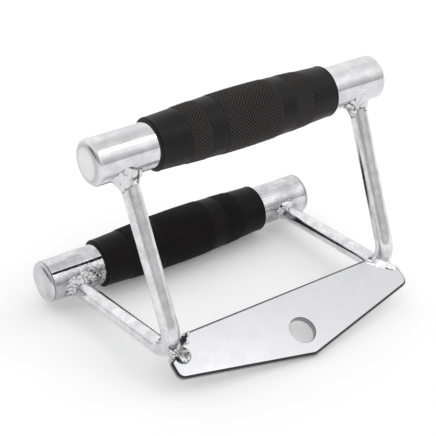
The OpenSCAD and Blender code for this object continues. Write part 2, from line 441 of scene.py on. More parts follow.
def plate_outline():
    """The plate's outline as (x, z) points in order, from the front rim of the CAD part."""
    work = bmesh.new()
    work.from_mesh(frame["nodes"]["plate"].data)
    bmesh.ops.transform(work, matrix=TO_V, verts=work.verts)
    bmesh.ops.remove_doubles(work, verts=work.verts, dist=SAME_POINT)
    beside = {}
    for e in work.edges:
        rim = len(e.link_faces) == 2 and e.calc_face_angle() > math.radians(60)
        if rim and all(v.co.y < 0 and math.hypot(v.co.x, v.co.z) > HOLE_R + HOLE_CLEAR for v in e.verts):
            for v in e.verts:
                beside.setdefault(v, []).append(e.other_vert(v))
    first = max(beside, key=lambda v: (v.co.z, v.co.x))
    line = [first]
    ahead = beside[first][0]
    while ahead is not first:
        before = line[-1]
        line.append(ahead)
        ahead = next(v for v in beside[ahead] if v is not before)
    outline = np.array([(v.co.x, v.co.z) for v in line])
    work.free()
    turn = np.roll(outline, -1, 0)
    area = (outline[:, 0] * turn[:, 1] - outline[:, 1] * turn[:, 0]).sum()
    return outline if area > 0 else outline[::-1]


def inset(outline, depth):
    """A convex outline, in order to the left, moved inwards.

    A corner that is too tight for the depth ends in the point where its two neighbouring sides meet.
    """
    way = np.roll(outline, -1, 0) - outline
    way /= np.linalg.norm(way, axis=1, keepdims=True)
    after = np.stack([-way[:, 1], way[:, 0]], 1)
    before = np.roll(after, 1, 0)
    moved = outline + depth * (after + before) / (1 + (after * before).sum(1))[:, None]
    folded = ((np.roll(moved, -1, 0) - moved) * way).sum(1) < 0
    count = len(outline)
    for first in range(count):
        if folded[first] and not folded[first - 1]:
            last = first
            while folded[last % count]:
                last += 1
            a, b = way[first - 1], way[last % count]
            gap = moved[last % count] - moved[first]
            reach = (gap[0] * b[1] - gap[1] * b[0]) / (a[0] * b[1] - a[1] * b[0])
            point = moved[first] + reach * a
            for i in range(first, last + 1):
                moved[i % count] = point
    return moved


def plate_shell():
    """Vertices and faces of the plate: rounded rims, the hole's wall, and the two flat faces."""
    face = PLATE_T / 2
    outline = plate_outline()
    turns = ring_angles(HOLE_AROUND)
    circle = np.stack([np.cos(turns), np.sin(turns)], 1)
    round_over = [
        (PLATE_EDGE * (1 - math.sin(a)), PLATE_EDGE * (1 - math.cos(a)) - face)
        for a in np.radians(np.linspace(0, 90, PLATE_EDGE_RINGS))
    ]
    rims = [(inset(outline, d), y) for d, y in round_over]
    rims += [(points, -y) for points, y in reversed(rims)]
    wall = [(circle * (HOLE_R + HOLE_EDGE), -face), (circle * HOLE_R, HOLE_EDGE - face)]
    wall += [(points, -y) for points, y in reversed(wall)]
    vertices = []
    faces = []
    for rings in (rims, wall):
        faces += band_faces(len(rings), len(rings[0][0]), start=len(vertices))
        vertices += [(x, y, z) for points, y in rings for x, z in points]
    borders = [Vector(v) for v in np.vstack([rims[0][0], wall[0][0]])]
    sheet = delaunay_2d_cdt(borders, [], [], 0, 0.001 * MM)
    for y in (-face, face):
        start = len(vertices)
        vertices += [(v.x, y, v.y) for v in sheet[0]]
        for corners in sheet[2]:
            # A triangle with all corners on the hole's rim lies in the hole
            if max(sheet[0][i].length for i in corners) > HOLE_R + 2 * HOLE_EDGE:
                faces.append([start + i for i in corners])
    return vertices, faces


def plate_piece():
    """The CAD plate's outline with its edges rounded over, as punched and plated steel has them."""
    mesh = bpy.data.meshes.new("plate")
    vertices, faces = plate_shell()
    mesh.from_pydata(vertices, [], faces)
    with editing(mesh) as work:
        bmesh.ops.remove_doubles(work, verts=work.verts, dist=SAME_POINT)
        work.normal_update()
        for e in work.edges:
            flat = [abs(f.normal.y) > FLAT_LEAN for f in e.link_faces]
            e.smooth = e.calc_face_angle(0) < math.radians(30) and (all(flat) or not any(flat))
    uv = np.array([mesh.vertices[loop.vertex_index].co.xz for loop in mesh.loops])
    mesh.uv_layers.new(name="UVMap").data.foreach_set("uv", uv.reshape(-1))
    # Painted shade on the plate's edges, their rounding and the hole's wall, over their duller sheared
    # steel
    leans = [abs(p.normal.y) for p in mesh.polygons]
    wear_and_painted_shade = [EDGE_WEAR_AND_SHADE if lean < EDGE_LEAN else clamp((WEAR_AND_SHADE_STARTS - lean) / WEAR_AND_SHADE_RAMP) for lean in leans]
    paint(mesh, "wear_and_painted_shade", wear_and_painted_shade, "FACE")
    finish_piece(mesh, "plate_steel", PLATE_STEEL, ["plate"])


plate_piece()

# ---------------- handle tubes and caps

AROUND = 160
TUBE_RINGS = 110
SHARP = math.radians(40)
# How far the steel beside each handle weld is speckled by its heat, and the middle of that patch
SCORCH = {("front", "left"): 0.25, ("front", "right"): 0.2, ("rear", "left"): 1.8, ("rear", "right"): 0.55}
SCORCH_CENTRE = Vector((70 * MM, -5.5 * MM, -11.2 * MM))
SCORCH_SPREAD = 6.6 * MM
# The patch is longer along the tube than round it
SCORCH_SQUEEZE = 0.62
# Depth of the seams between tubes and caps: the front ones were polished away
SEAM_DEPTH = {"front": 0.05 * MM, "rear": 0.28 * MM}
# Waves of a drawn, polished tube, which are longer along it, and of a cap: height, size, squeeze along X
TUBE_WAVES = (0.035 * MM, 5 * MM, 0.25)
CAP_WAVES = (0.05 * MM, 6 * MM, 1)
# A cap: depth of its rounded head, how far the rounding reaches in, and how much its face is crowned
CAP_DEPTH = {"front": 3.1 * MM, "rear": 3.2 * MM}
CAP_ROUND = {"front": 4.4 * MM, "rear": 5.2 * MM}
CAP_CROWN = {"front": 0.12 * MM, "rear": 0.30 * MM}
SPIGOT = 8 * MM
AXIS_R = 0.3 * MM
# Painted shade: a dark band on the caps' rounded rims that stands in for a dark reflection; and a darker,
# rougher band at the seams between caps and tubes
CAP_RING = {"front": 0.35, "rear": 0.10}
CAP_RING_PLACE = 0.35
CAP_SEAM = {("front", "left"): 0.0, ("front", "right"): 0.1, ("rear", "left"): 1.0, ("rear", "right"): 0.35}
CAP_SEAM_WIDTH = 0.5 * MM


def lathe(name, profile, centre, waves, closed=False):
    """Mesh of a wavy solid of revolution about a line along X, and its rings of points.

    profile is a list of (x, radius), and waves are (height, size, squeeze along X, seed).
    """
    height, size, squeeze, seed = waves
    angles = ring_angles(AROUND)
    rings = []
    for x, radius in profile:
        spots = [(x * squeeze, TUBE_R * math.cos(a), TUBE_R * math.sin(a)) for a in angles]
        swell = np.array([height * wave(spot, size, seed) for spot in spots])
        rings.append(ring_about(centre, x, radius + swell, angles))
    points = np.array(rings)
    v = np.linspace(0, 2 * math.pi * TUBE_R, AROUND + 1)
    return tube_mesh(name, points, arc_length(profile), v, closed), points


def tube_piece(row):
    centre = (0, ROWS[row] * HANDLE_Y, HANDLE_Z)
    edge = SEAM_DEPTH[row]
    inner = TUBE_R - TUBE_WALL
    outside = np.linspace(-TUBE_HALF + edge, TUBE_HALF - edge, TUBE_RINGS)
    profile = [(-TUBE_HALF, TUBE_R - edge)]
    profile += [(x, TUBE_R) for x in outside]
    profile += [(TUBE_HALF, TUBE_R - edge), (TUBE_HALF, inner), (-TUBE_HALF, inner)]
    node = row + "_handle_tube"
    mesh, points = lathe(node, profile, centre, (*TUBE_WAVES, ROWS[row]), closed=True)
    middle = SCORCH_CENTRE * Vector((1, ROWS[row], 1)) + Vector(centre)
    scorch = []
    for x, y, z in points.reshape(-1, 3):
        heat = 0
        for side in SIDES:
            gap = Vector(((x - SIDES[side] * middle.x) * SCORCH_SQUEEZE, y - middle.y, z - middle.z))
            heat += SCORCH[row, side] * bell(gap.length, SCORCH_SPREAD)
        scorch.append(min(1.0, heat))
    paint(mesh, "scorch", scorch)
    piece = finish_piece(mesh, node + "_steel", TUBE_STEEL[row], [node])
    piece.data.set_sharp_from_angle(angle=SHARP)


def cap_piece(row, side):
    """A plug with a rounded, slightly domed head and a spigot inside the tube."""
    depth = CAP_DEPTH[row]
    reach = CAP_ROUND[row]
    crown = CAP_CROWN[row]
    seam = SEAM_DEPTH[row]
    sign = SIDES[side]
    head = HANDLE_HALF - TUBE_HALF
    inner = TUBE_R - TUBE_WALL
    flat_r = TUBE_R - reach
    profile = [(head - crown * (r / flat_r) ** 2, r) for r in np.linspace(AXIS_R, flat_r - 0.1 * MM, 14)]
    profile += [
        (head - crown - (depth - crown) * (1 - math.cos(a)), flat_r + reach * math.sin(a))
        for a in np.radians(np.linspace(4, 90, 20))
    ]
    profile += [(seam, TUBE_R), (0, TUBE_R - seam), (0, inner), (-SPIGOT, inner), (-SPIGOT, AXIS_R)]
    profile = [(sign * x, r) for x, r in profile]
    centre = (sign * TUBE_HALF, ROWS[row] * HANDLE_Y, HANDLE_Z)
    node = f"{row}_{side}_end_cap"
    mesh, _ = lathe(node, profile, centre, (*CAP_WAVES, 3 + ROWS[row] + 2 * sign))
    # Painted shade on each cap's rounded rim, and a darker band at its seam with the tube
    wear_and_painted_shade = []
    for x, r in profile:
        ring = bell((r - flat_r) / reach - CAP_RING_PLACE, CAP_RING_PLACE)
        groove = bell(x, CAP_SEAM_WIDTH) if r > inner else 0
        wear_and_painted_shade.append(CAP_RING[row] * ring + CAP_SEAM[row, side] * groove)
    paint(mesh, "wear_and_painted_shade", np.repeat(wear_and_painted_shade, AROUND).tolist() + [0.0, 0.0])
    piece = finish_piece(mesh, node + "_steel", CAP_STEEL[row], [node])
    piece.data.set_sharp_from_angle(angle=SHARP)


for row in ROWS:
    tube_piece(row)
    for side in SIDES:
        cap_piece(row, side)

# ---------------- V bars


def bar_frame(side):
    """Matrix that takes the bar's own plane (across, row, up) to the V frame, lean included."""
    turn = Matrix.Rotation(SIDES[side] * BAR_LEAN, 4, "Y")
    return Matrix.Translation((SIDES[side] * BAR_X, 0, BEND_Z)) @ turn


VERTEX_Z = -BEND_R * (1 / math.sin(LEG_ANGLE) - 1)
STRAIGHT_START = BEND_R / math.tan(LEG_ANGLE)
TUBE_RISE = HANDLE_Z - BEND_Z - VERTEX_Z
LEG_TO_TUBE = HANDLE_Y * math.sin(LEG_ANGLE) + TUBE_RISE * math.cos(LEG_ANGLE)
LEG_MISS = TUBE_RISE * math.sin(LEG_ANGLE) - HANDLE_Y * math.cos(LEG_ANGLE)
LEG_TO_SKIN = LEG_TO_TUBE - math.sqrt(TUBE_R**2 - LEG_MISS**2)


ROD_AROUND = 64
LEG_RINGS = 46
BEND_RINGS = 30
# How far a rod's end reaches into its handle weld beyond the tube's skin
ROD_OVERLAP = 1.2 * MM
# How much a bent rod widens sideways and flattens in its bend, as a share of its radius
BEND_SQUASH = 0.03
BEND_SQUASH_Z = 1 * MM
BEND_SQUASH_REACH = 7 * MM
ROD_WAVE = 0.05 * MM


def leg_point(row, distance):
    """Point on a leg's axis in the bar's plane, at a distance from where the two legs' axes meet."""
    y = ROWS[row] * distance * math.sin(LEG_ANGLE)
    return Vector((0, y, VERTEX_Z + distance * math.cos(LEG_ANGLE)))


def bar_path():
    """(point, direction) along the rod's axis, front leg first."""
    distances = np.linspace(LEG_TO_SKIN + ROD_OVERLAP, STRAIGHT_START, LEG_RINGS)
    way = (leg_point("front", 0) - leg_point("front", 1)).normalized()
    path = [(leg_point("front", d), way) for d in distances[:-1]]
    half = 90 - math.degrees(LEG_ANGLE)
    for a in np.radians(np.linspace(-half, half, BEND_RINGS)):
        point = Vector((0, 0, BEND_R)) + BEND_R * Vector((0, math.sin(a), -math.cos(a)))
        path.append((point, Vector((0, math.cos(a), math.sin(a)))))
    way = (leg_point("rear", 1) - leg_point("rear", 0)).normalized()
    return path + [(leg_point("rear", d), way) for d in distances[::-1][1:]]


def bar_piece(side):
    matrix = bar_frame(side)
    path = bar_path()
    angles = ring_angles(ROD_AROUND)
    points = np.zeros((len(path), ROD_AROUND, 3))
    for i, (centre, forward) in enumerate(path):
        outward = forward.cross(ALONG)
        squash = BEND_SQUASH * bell(centre.z - BEND_SQUASH_Z, BEND_SQUASH_REACH)
        for j, a in enumerate(angles):
            radius = ROD_R * (1 + squash * math.cos(a) ** 2 - squash * math.sin(a) ** 2)
            spot = (4 * math.cos(a) + 9 * SIDES[side], 4 * math.sin(a), i * 0.35)
            radius += ROD_WAVE * noise.noise(Vector(spot))
            points[i, j] = matrix @ (centre + radius * (math.cos(a) * ALONG + math.sin(a) * outward))
    steps = [0] + [(path[i + 1][0] - path[i][0]).length for i in range(len(path) - 1)]
    v = np.linspace(0, 2 * math.pi * ROD_R, ROD_AROUND + 1)
    node = side + "_v_bar"
    mesh = tube_mesh(node, points, np.cumsum(steps), v)
    finish_piece(mesh, node + "_steel", ROD_STEEL, [node])


for side in SIDES:
    bar_piece(side)

# ---------------- grips

KNURL_PITCH = 2.0 * MM
KNURLS_ROUND = 48
KNURL_CELLS = 7
KNURL_DEPTH = 0.42 * MM
# How much the tips of the knurl are lightened by grey dust and a painted highlight; less on the rear grip,
# as painted shade
KNURL_DUST_AND_HIGHLIGHT = {"front": 1.0, "rear": 0.45}
# Room for the tips of the knurl inside the CAD grip
KNURL_ROOM = 0.15 * MM
# Knurled bands of one half of a grip, measured from its middle: (start, end)
KNURL_BANDS = ((0, 18 * MM), (28 * MM, 40 * MM))
BAND_STEP = 0.22 * MM
# The tips of the knurl are cut off at this share of their height
KNURL_CUT = 0.75
# Share of the knurl's depth that lies below the barrel's surface
KNURL_SUNK = 0.75
GROOVE_WIDTH = 0.28 * MM
GROOVE_DEPTH = 0.18 * MM
PLAIN_STEP = 1.4 * MM
GRIP_WAVE = 0.04 * MM
GRIP_WAVE_SIZE = 9 * MM
GRIP_EDGE = 1.3 * MM
# Gap between the tube and the grip's bore
BORE_GAP = 0.02 * MM


def barrel(x):
    t = min(abs(x) / GRIP_HALF, 1)
    return GRIP_END_R + (GRIP_MID_R - KNURL_ROOM - GRIP_END_R) * (1 - t * t) ** 1.5


def in_band(x):
    return any(start <= abs(x) <= end for start, end in KNURL_BANDS)


def groove(x):
    """1 at the thin ring line that borders each knurled band, 0 elsewhere."""
    edges = [e for band in KNURL_BANDS for e in band if e]
    return max(bell(abs(x) - e, GROOVE_WIDTH) for e in edges)


def grip_rings():
    """Places of a grip's rings along X: close together in the knurl and near its borders."""
    step = KNURL_PITCH / KNURL_CELLS
    places = []
    x = -GRIP_HALF + GRIP_EDGE
    while x < GRIP_HALF - GRIP_EDGE:
        places.append(x)
        near = in_band(x) or groove(x) > 0.01 or in_band(x + PLAIN_STEP)
        x += step if near else PLAIN_STEP
    places.append(GRIP_HALF - GRIP_EDGE)
    return places


def saw(u):
    """Triangle wave: 0 at whole numbers, 1 half way between them."""
    return 1 - np.abs(2 * (u - np.floor(u)) - 1)


def grip_piece(row):
    around = KNURLS_ROUND * KNURL_CELLS
    angles = ring_angles(around)
    centre = (0, ROWS[row] * HANDLE_Y, HANDLE_Z)
    end_r = barrel(GRIP_HALF)
    left = [
        (-GRIP_HALF + GRIP_EDGE * (1 - math.sin(a)), end_r - GRIP_EDGE * (1 - math.cos(a)))
        for a in np.radians(np.linspace(90, 12, 8))
    ]
    side_rings = [(x, barrel(x)) for x in grip_rings()]
    right = [(-x, r) for x, r in reversed(left)]
    profile = [(-GRIP_HALF, TUBE_R + BORE_GAP)] + left + side_rings + right
    profile += [(GRIP_HALF, TUBE_R + BORE_GAP)]
    rings = []
    ridge = np.zeros((len(profile), around))
    flat_rows = []
    for i, (x, radius) in enumerate(profile):
        side_wall = 1 + len(left) <= i < len(profile) - 1 - len(right)
        swell = np.zeros(around)
        if side_wall and in_band(x):
            turn = angles * KNURLS_ROUND / (2 * math.pi)
            shape = np.minimum(saw(x / KNURL_PITCH + turn), saw(x / KNURL_PITCH - turn))
            shape = np.minimum(shape, KNURL_CUT) / KNURL_CUT
            swell = KNURL_DEPTH * (shape - KNURL_SUNK)
            # Lightened knurl tips: grey dust and a painted highlight, less on the rear grip as painted
            # shade
            ridge[i] = shape * KNURL_DUST_AND_HIGHLIGHT[row]
            flat_rows.append(i)
        elif side_wall:
            swell -= BAND_STEP
        if side_wall:
            swell = swell - GROOVE_DEPTH * groove(x)
        swell = swell + GRIP_WAVE * wave((x, 0, radius), GRIP_WAVE_SIZE, ROWS[row])
        rings.append(ring_about(centre, x, radius + swell, angles))
    v = np.linspace(0, 2 * math.pi * GRIP_MID_R, around + 1)
    node = row + "_grip"
    mesh = tube_mesh(node, np.array(rings), arc_length(profile), v, closed=True, flat_rows=flat_rows)
    paint(mesh, "ridge", ridge.reshape(-1))
    finish_piece(mesh, node + "_rubber", RUBBER[row], [node], smooth=False)


for row in ROWS:
    grip_piece(row)

# ---------------- handle welds

WELD_AROUND = 120
WELD_ACROSS = 18
# How deep the bead's skin ends in the tube and in the rod
TOE_DEPTH = 0.08 * MM
TOP_DEPTH = 0.05 * MM
# A line meets a tube squarely enough where half its chord in the tube is at least this
SQUARE_ENOUGH = 3 * MM
BIG_LUMP = 3.6 * MM
SMALL_LUMP = 1.6 * MM
CREASE_SPACING = 3.4 * MM
CREASE_WIDTH = 0.13
# From this unevenness on, the painted shade in the creases and low spots of a handle weld is full
FULL_ROUGH = 0.6 * MM
RIPPLES = 24
RIPPLE_HEIGHT = 0.06 * MM


def leg_line(side, row, offset, angle):
    """A line beside a leg: its point level with the legs' meeting point, and its direction."""
    matrix = bar_frame(side)
    forward = Vector((0, ROWS[row] * math.sin(LEG_ANGLE), math.cos(LEG_ANGLE)))
    outward = forward.cross(ALONG)
    start = leg_point(row, 0) + offset * (math.cos(angle) * ALONG + math.sin(angle) * outward)
    return matrix @ start, matrix.to_3x3() @ forward


def meet_tube(side, row, offset, angle, depth=0.0):
    """Distance along the line beside the leg to the tube's skin, or None where it passes the tube."""
    start, way = leg_line(side, row, offset, angle)
    y = start.y - ROWS[row] * HANDLE_Y
    z = start.z - HANDLE_Z
    a = way.y**2 + way.z**2
    b = y * way.y + z * way.z
    c = y * y + z * z - (TUBE_R - depth) ** 2
    inside = b * b - a * c
    if inside < SQUARE_ENOUGH**2:
        return None
    return (-b - math.sqrt(inside)) / a


def on_line(side, row, offset, angle, distance):
    start, way = leg_line(side, row, offset, angle)
    return start + way * distance


def toward(angle, centre, spread):
    """1 where an angle is near a centre, in degrees, and 0 far from it."""
    return bell((math.degrees(angle) - centre + 180) % 360 - 180, spread)


def smooth_skin(side, row, height, width, hollow):
    """The bead before its lumps: the rings of its outer skin, then those of its hidden side."""
    outer = np.zeros((WELD_ACROSS, WELD_AROUND, 3))
    inner = np.zeros((2, WELD_AROUND, 3))
    for j, angle in enumerate(ring_angles(WELD_AROUND)):
        corner_d = meet_tube(side, row, ROD_R, angle)
        reach = width(angle)
        while meet_tube(side, row, ROD_R + reach, angle, TOE_DEPTH) is None:
            reach -= 0.2 * MM
        toe_d = meet_tube(side, row, ROD_R + reach, angle, TOE_DEPTH)
        rise = height(angle)
        top = np.array(on_line(side, row, ROD_R - TOP_DEPTH, angle, corner_d - rise))
        corner = np.array(on_line(side, row, ROD_R, angle, corner_d))
        toe = np.array(on_line(side, row, ROD_R + reach, angle, toe_d))
        bend = (top + toe) / 2 * (1 - hollow) + corner * hollow
        for i, t in enumerate(np.linspace(0, 1, WELD_ACROSS)):
            outer[i, j] = quadratic(t, top, bend, toe)
        inner[0, j] = on_line(side, row, ROD_R + reach - 0.6 * MM, angle, toe_d + 1.0 * MM)
        inner[1, j] = on_line(side, row, ROD_R - 1.0 * MM, angle, corner_d - rise + 0.8 * MM)
    return outer, inner


def weld_skin(side, row, height, width, hollow, lumps, seed, marks):
    """Flared bead between a rod's end and its tube. height, width and lumps are functions of the angle.

    marks are lumps and pits: (angle, place from rod 0 to tube 1, spread of each, height in mm, darkness),
    where darkness is painted shade, dark in the pits and negative to lighten the lumps. Returns rings of
    points, and the painted shade of each point: in creases and low spots, at the bead's edges and in the
    pits.
    Returns rings of points, and how dark and hollow each point is.
    """
    outer, inner = smooth_skin(side, row, height, width, hollow)
    run = np.gradient(outer, axis=0)
    turn = np.roll(outer, -1, 1) - np.roll(outer, 1, 1)
    normal = np.cross(run, turn)
    normal /= np.linalg.norm(normal, axis=2, keepdims=True)
    if ((outer - outer.mean((0, 1))) * normal).sum() < 0:
        normal = -normal
    dark = np.zeros((WELD_ACROSS + 2, WELD_AROUND))
    for i in range(WELD_ACROSS):
        t = i / (WELD_ACROSS - 1)
        rim = math.sin(math.pi * t) ** 0.6 if 0 < t < 1 else 0
        # Painted shade at the bead's edges, where it meets the rod and the tube
        edge = max(1.25 * math.exp(-t / 0.06), math.exp(-(1 - t) / 0.09))
        for j, angle in enumerate(ring_angles(WELD_AROUND)):
            spot = outer[i, j]
            big = wave(spot, BIG_LUMP, seed)
            small = wave(spot, SMALL_LUMP, seed + 1)
            crease = max(0.0, 1 - abs(wave(spot, CREASE_SPACING, seed + 2)) / CREASE_WIDTH)
            ripple = math.sin(RIPPLES * angle + 5 * (t - 0.5) ** 2 * math.pi + 2.5 * big)
            rough = lumps(angle)
            shift = rough * (0.55 * big + 0.25 * small - 0.35 * crease) + RIPPLE_HEIGHT * ripple
            shift *= rim
            painted_spot_shade = 0.0
            for at, place, turn_spread, place_spread, rise, darkness in marks:
                near = toward(angle, at, turn_spread) * bell(t - place, place_spread)
                shift += rise * MM * near
                painted_spot_shade += darkness * near
            outer[i, j] += normal[i, j] * shift
            # Painted shade in the creases and low spots of the lumps, at the edges and in the marked pits
            low = max(0.0, -1.3 * big - 0.5 * small)
            shade = 0.75 * edge + 0.9 * (crease + low) * min(1, rough / FULL_ROUGH) + painted_spot_shade
            dark[i, j] = clamp(shade)
    return np.concatenate([outer, inner]), dark


def spatter(side, row, seed, drops):
    """Places and radii of drops of metal on the tube beside a bead."""
    spots = []
    for i in range(drops):
        turn, way_out, size = (noise.cell(Vector((i + 0.5, seed, k))) for k in (0.5, 9.5, 5.5))
        reach = ROD_R + (2.5 + 5 * way_out) * MM
        distance = meet_tube(side, row, reach, 2 * math.pi * turn)
        if distance is not None:
            place = on_line(side, row, reach, 2 * math.pi * turn, distance)
            spots.append((place, (0.30 + 0.35 * size) * MM))
    return spots


def handle_weld(side, row, height, width, hollow, lumps, seed, drops=0, marks=()):
    points, dark = weld_skin(side, row, height, width, hollow, lumps, seed, marks)
    node = f"{row}_{side}_handle_weld"
    v = np.linspace(0, 2 * math.pi * ROD_R, WELD_AROUND + 1)
    u = np.linspace(0, 10 * MM, len(points))
    mesh = tube_mesh(node, points, u, v, closed=True)
    # The weld's painted shade goes into the 'hollow' attribute
    paint(mesh, "hollow", dark.reshape(-1))
    with editing(mesh) as work:
        for centre, radius in spatter(side, row, seed, drops):
            place = Matrix.Translation(centre)
            bmesh.ops.create_icosphere(work, subdivisions=2, radius=radius, matrix=place)
    finish_piece(mesh, node + "_metal", WELD_STEEL, [node])


# In marks, the last number is painted shade: dark in the pits, and below zero it lightens a lump
handle_weld(
    "left", "front",
    height=lambda a: (7.6 - 1.4 * toward(a, 330, 40)) * MM,
    width=lambda a: (1.8 + 3.4 * toward(a, 190, 45) + 2.4 * toward(a, 350, 40)) * MM,
    hollow=0.42,
    lumps=lambda a: (0.35 + 0.7 * toward(a, 325, 40)) * MM,
    seed=11,
    marks=(
        (288, 0.02, 24, 0.07, 0.9, -0.9),
        (318, 0.62, 7, 0.20, -0.9, 1.1),
        (330, 0.34, 6, 0.14, -0.8, 1.1),
        (306, 0.88, 9, 0.08, -0.5, 0.9),
        (325, 0.10, 8, 0.08, -0.5, 1.1),
        (338, 0.62, 8, 0.16, 0.9, -0.6),
    ),
)
handle_weld(
    "right", "front",
    height=lambda a: (7.4 + 0.8 * toward(a, 250, 40)) * MM,
    width=lambda a: (1.6 + 2.8 * toward(a, 5, 45) + 3.6 * toward(a, 190, 30)) * MM,
    hollow=0.42,
    lumps=lambda a: (0.30 + 0.4 * toward(a, 215, 35)) * MM,
    seed=14,
    marks=(
        (296, 0.03, 12, 0.07, 0.9, -0.9),
        (262, 0.02, 14, 0.06, -0.3, 1.1),
        (232, 0.10, 10, 0.12, -0.4, 1.1),
        (215, 0.50, 9, 0.30, -0.5, 0.8),
    ),
)
handle_weld(
    "left", "rear",
    height=lambda a: (4.2 + 1.5 * toward(a, 250, 50)) * MM,
    width=lambda a: (3.4 + 1.6 * toward(a, 180, 60) + 3.6 * toward(a, 345, 55)) * MM,
    hollow=0.45,
    lumps=lambda a: (1.0 + 0.5 * toward(a, 290, 70)) * MM,
    seed=17,
    drops=60,
)
handle_weld(
    "right", "rear",
    height=lambda a: 4.6 * MM,
    width=lambda a: (2.0 + 2.4 * toward(a, 215, 35)) * MM,
    hollow=0.60,
    lumps=lambda a: (0.35 + 0.4 * toward(a, 215, 40)) * MM,
    seed=20,
    drops=8,
)

# ---------------- plate welds

VOXEL = 0.35 * MM
CUT_TOP = Vector((61.5 * MM, 0, PLATE_TOP))
CUT_RUN = Vector((17.75 * MM, 0, -12.5 * MM))
# Where the rod comes nearest to the cut, along the cut, and the gap between them
CONTACT = 11.4 * MM
CONTACT_GAP = 0.56 * MM
BEAD_STOP = 20.5 * MM
SECTION_STEP = 0.25 * MM
SECTION_POINTS = 20
# Over this length at each end, a bead thins out
BEAD_END = 2.5 * MM
CUT_LUMP = 2.4 * MM
CUT_SMALL_LUMP = 1.0 * MM
CUT_CREASE_SPACING = 2.6 * MM
CUT_CREASE_WIDTH = 0.09
# From this unevenness on, the painted shade in creases and hollows is full
CUT_ROUGH = 0.4 * MM
# A crevice that the smoothing filled this deep gets painted shade of 0.8
FILLED = 0.12 * MM


def cut_frame(side):
    """Matrix of a plate's diagonal cut: X down the cut, Y out of the cut, Z out of the front face."""
    down = CUT_RUN.normalized()
    out = Vector((-down.z, 0, down.x))
    front = Vector((0, -1, 0))
    matrix = Matrix.Translation(CUT_TOP) @ Matrix((down, out, front)).transposed().to_4x4()
    return Matrix.Diagonal((SIDES[side], 1, 1, 1)) @ matrix


def section_rings(start, stop, toe, seed):
    """Rings of a bead along the cut, in the cut's space: from a toe on the plate's face up to the rod.

    start and stop are places along the cut, and toe is how far the bead's foot lies down the face.
    """
    face = PLATE_T / 2
    rings = []
    for s in np.arange(start, stop, SECTION_STEP):
        ends = min(1.0, (s - start) / BEAD_END + 0.05, (stop - s) / BEAD_END + 0.05) ** 0.5
        beside = (s - CONTACT) / (ROD_R + 0.6 * MM)
        near = math.sqrt(max(0.0, 1 - beside**2))
        foot_out = -(toe * ends * (1 + 0.22 * noise.noise(Vector((s * 260, seed, 0.3)))) + 0.5 * MM)
        lift = BEND_R - math.sqrt(BEND_R**2 - (face + 2 * MM * near) ** 2)
        rod_out = CONTACT_GAP + ROD_R * (1 - near) + 0.8 * lift
        head_out = rod_out * min(1, near * 3) + 0.9 * MM * (1 - near) * ends
        head_front = face * (0.6 + 0.4 * near) + 2.2 * MM * near
        swell = 1.0 * MM * ends * (1 + 0.35 * noise.noise(Vector((s * 420, seed, 7.3))))
        foot = np.array((s, foot_out, face - 0.35 * MM))
        head = np.array((s, head_out, head_front))
        bend = np.array((s, foot_out * 0.25 + head_out * 0.25, face + swell + 0.5 * MM * near))
        curve = quadratic(np.linspace(0, 1, SECTION_POINTS)[:, None], foot, bend, head)
        back = [(s, head_out * 0.6, face * 0.3), (s, foot_out * 0.4, face * 0.3)]
        rings.append(np.vstack([curve, back]))
    return np.array(rings)


def bead_mesh(node, matrix, start, stop, toe, seed):
    """The bead as a mesh in the V frame."""
    rings = section_rings(start, stop, toe, seed)
    placed = np.array([matrix @ Vector(p) for p in rings.reshape(-1, 3)]).reshape(rings.shape)
    u = np.arange(len(rings)) * SECTION_STEP
    return tube_mesh(node, placed, u, np.linspace(0, 12 * MM, rings.shape[1] + 1))


